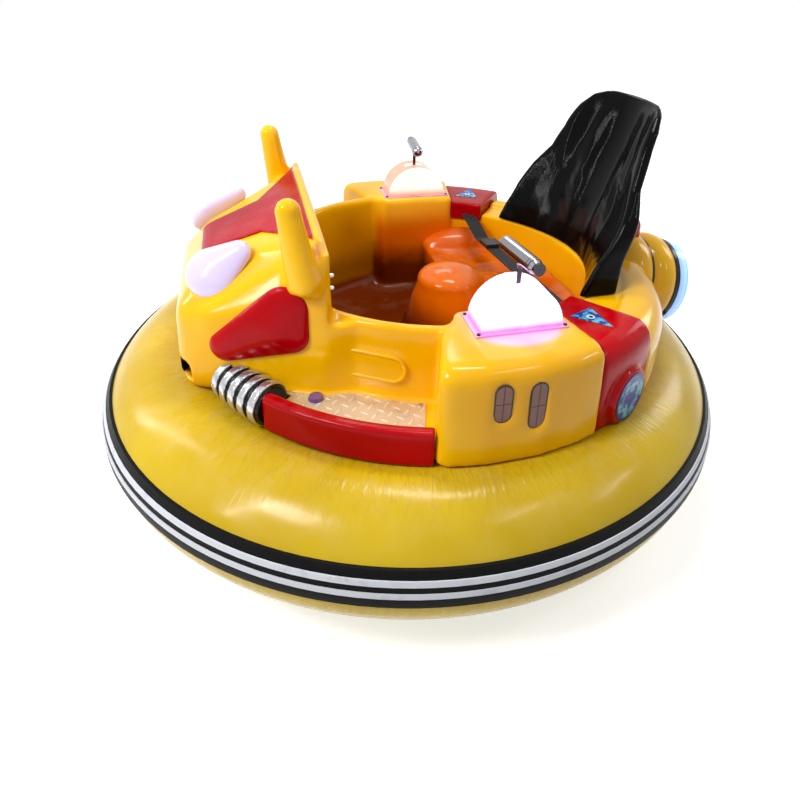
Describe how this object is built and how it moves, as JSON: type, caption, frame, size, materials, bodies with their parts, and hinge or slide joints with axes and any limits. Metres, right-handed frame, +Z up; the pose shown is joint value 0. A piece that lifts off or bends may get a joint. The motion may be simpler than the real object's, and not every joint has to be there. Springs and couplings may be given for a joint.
{
  "type": "bumper car",
  "caption": "Round battery bumper car with an inflatable ring, a hollow one-seat cockpit, two drive levers, two powered wheels and two castors.",
  "frame": {"origin": "centre of the overall box, on the floor", "axes": "-X is the front (nose), +Y the car's right side, +Z up"},
  "size_m": [1.9388, 1.914, 1.132],
  "materials": {
    "ring_vinyl": "glossy vinyl",
    "black_rubber": "satin",
    "grey_trim": "satin",
    "black_steel": "powder coated",
    "glow_turquoise": "lit diffuser",
    "battery_black": "matte",
    "cast_alloy": "cast",
    "tyre_black": "matte",
    "zinc_steel": "zinc plated",
    "grey_tread": "matte",
    "orange_shell": "gloss gel coat",
    "yellow_shell": "gloss gel coat",
    "red_panel": "gloss gel coat",
    "lamp_lens": "lit diffuser",
    "black_plastic": "satin",
    "tread_alloy": "tread plate",
    "purple_plastic": "gloss",
    "silver_plastic": "metallic",
    "window_glass": "lit diffuser",
    "pink_cover": "translucent gloss",
    "lever_steel": "polished",
    "blue_badge": "gloss",
    "black_seat": "gloss",
    "belt_webbing": "webbing",
    "thruster_glow": "lit diffuser"
  },
  "bodies": {
    "car_body": {"bumper_ring": "ring_vinyl", "rub_band": "black_rubber", "band_stripes": "grey_trim", "chassis_pan": "black_steel", "underglow_strip": "glow_turquoise", "battery_block": "battery_black", "drive_brackets": "black_steel", "castor_heads": "zinc_steel", "cockpit_tub": "orange_shell", "nose_shell": "yellow_shell", "hood_panel": "red_panel", "headlamps": "lamp_lens", "cheek_panels": "red_panel", "nose_grilles": "black_plastic", "dash_panel": "orange_shell", "step_recesses": "yellow_shell", "step_plates": "tread_alloy", "step_buttons": "purple_plastic", "sill_bars": "red_panel", "sill_bellows": "silver_plastic", "shoulder_pods": "yellow_shell", "side_windows": "window_glass", "lever_covers": "pink_cover", "lever_flanges": "pink_cover", "side_wraps": "red_panel", "wrap_badges": "blue_badge", "rear_deck": "yellow_shell", "tail_cap": "red_panel", "seat_base": "orange_shell", "seat_back": "black_seat", "seat_belt": "belt_webbing", "belt_buckle": "black_plastic", "thruster_bell": "yellow_shell", "thruster_bands": "black_rubber", "thruster_lens": "thruster_glow"},
    "drive_wheel_left": {"drive_hub_left": "cast_alloy", "drive_tyre_left": "tyre_black"},
    "drive_wheel_right": {"drive_hub_right": "cast_alloy", "drive_tyre_right": "tyre_black"},
    "castor_swivel_front": {"castor_fork_front": "zinc_steel"},
    "castor_swivel_rear": {"castor_fork_rear": "zinc_steel"},
    "castor_roller_front": {"castor_wheel_front": "grey_tread"},
    "castor_roller_rear": {"castor_wheel_rear": "grey_tread"},
    "drive_lever_left": {"lever_left": "lever_steel"},
    "drive_lever_right": {"lever_right": "lever_steel"}
  },
  "joints": [
    {"name": "drive_wheel_left_spin", "type": "hinge", "parent": "car_body", "child": "drive_wheel_left", "pos_m": [0.04783, -0.33, 0.1], "axis": [0, 1, 0], "continuous": true},
    {"name": "drive_wheel_right_spin", "type": "hinge", "parent": "car_body", "child": "drive_wheel_right", "pos_m": [0.04783, 0.33, 0.1], "axis": [0, 1, 0], "continuous": true},
    {"name": "castor_front_swivel", "type": "hinge", "parent": "car_body", "child": "castor_swivel_front", "pos_m": [-0.41217, 0, 0.045], "axis": [0, 0, 1], "continuous": true},
    {"name": "castor_front_roll", "type": "hinge", "parent": "castor_swivel_front", "child": "castor_roller_front", "pos_m": [-0.38017, 0, 0.045], "axis": [0, 1, 0], "continuous": true},
    {"name": "castor_rear_swivel", "type": "hinge", "parent": "car_body", "child": "castor_swivel_rear", "pos_m": [0.41783, 0, 0.045], "axis": [0, 0, 1], "continuous": true},
    {"name": "castor_rear_roll", "type": "hinge", "parent": "castor_swivel_rear", "child": "castor_roller_rear", "pos_m": [0.44983, 0, 0.045], "axis": [0, 1, 0], "continuous": true},
    {"name": "lever_left_swing", "type": "hinge", "parent": "car_body", "child": "drive_lever_left", "pos_m": [0.09283, -0.52, 0.682], "axis": [0, 1, 0], "range_deg": [-12, 12], "stiffness_Nm_per_rad": 3},
    {"name": "lever_right_swing", "type": "hinge", "parent": "car_body", "child": "drive_lever_right", "pos_m": [0.09283, 0.52, 0.682], "axis": [0, 1, 0], "range_deg": [-12, 12], "stiffness_Nm_per_rad": 3}
  ]
}
